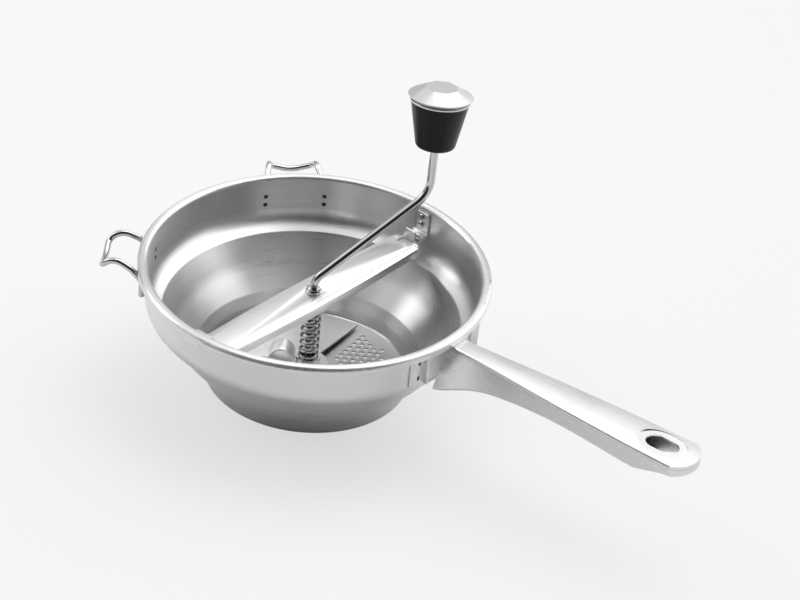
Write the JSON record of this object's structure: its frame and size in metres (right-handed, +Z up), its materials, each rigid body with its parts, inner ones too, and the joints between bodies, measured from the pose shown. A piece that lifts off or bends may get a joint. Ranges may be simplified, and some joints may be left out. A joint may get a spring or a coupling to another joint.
{
  "type": "tomato strainer with crank",
  "caption": "Stepped steel bowl strainer with a long hollow handle, wire pot rests, a crossbar and a bent crank that turns a sprung scraper over a perforated disc.",
  "frame": {"origin": "centre of the bowl's foot, on the crank shaft's axis, in the plane the foot stands on", "axes": "+Z up along the shaft's axis, +X out along the handle, the crossbar close to the Y axis"},
  "size_m": [0.3767, 0.21, 0.1836],
  "materials": {
    "bowl_steel": "satin stainless steel, brushed round the axis inside",
    "disc_steel": "satin stainless steel sheet",
    "bar_steel": "satin stainless steel sheet",
    "handle_steel": "fine satin stainless steel",
    "bright_steel": "polished",
    "cap_metal": "fine satin",
    "grip_plastic": "smooth black, semi-gloss"
  },
  "bodies": {
    "strainer": {"bowl": "bowl_steel", "milling_disc": "disc_steel", "disc_eyelet": "disc_steel", "crossbar": "bar_steel", "bar_catch": "bar_steel", "catch_rivets": "bright_steel", "bar_bushing": "bright_steel", "spring_top_washer": "bright_steel", "spring": "bright_steel", "handle_upper_shell": "handle_steel", "handle_lower_shell": "handle_steel", "handle_mount_plate": "bowl_steel", "rest_wire_back": "bright_steel", "rest_wire_side": "bright_steel"},
    "float": {"spring_seat_cup": "bright_steel"},
    "crank": {"crank_rod": "bright_steel", "crank_collar": "bright_steel", "collar_pin": "bright_steel", "blade_hub": "bright_steel", "scraper_blade": "disc_steel", "blade_nut": "bright_steel", "knob_stop_washer": "bright_steel", "knob_push_nut": "bright_steel"},
    "knob": {"knob_grip": "grip_plastic", "knob_ring": "bright_steel", "knob_cap": "cap_metal"}
  },
  "joints": [
    {"name": "shaft_lift", "type": "slide", "parent": "strainer", "child": "float", "axis": [0, 0, 1], "range_m": [0, 0.01], "stiffness_N_per_m": 1500, "springref_m": -0.01, "deforming": ["spring"]},
    {"name": "crank_turn", "type": "hinge", "parent": "float", "child": "crank", "pos_m": [0, 0, 0.058], "axis": [0, 0, 1], "continuous": true},
    {"name": "knob_spin", "type": "hinge", "parent": "crank", "child": "knob", "pos_m": [0.03174, 0.06507, 0.145], "axis": [-0.075, 0.1172, 0.9903], "continuous": true}
  ]
}
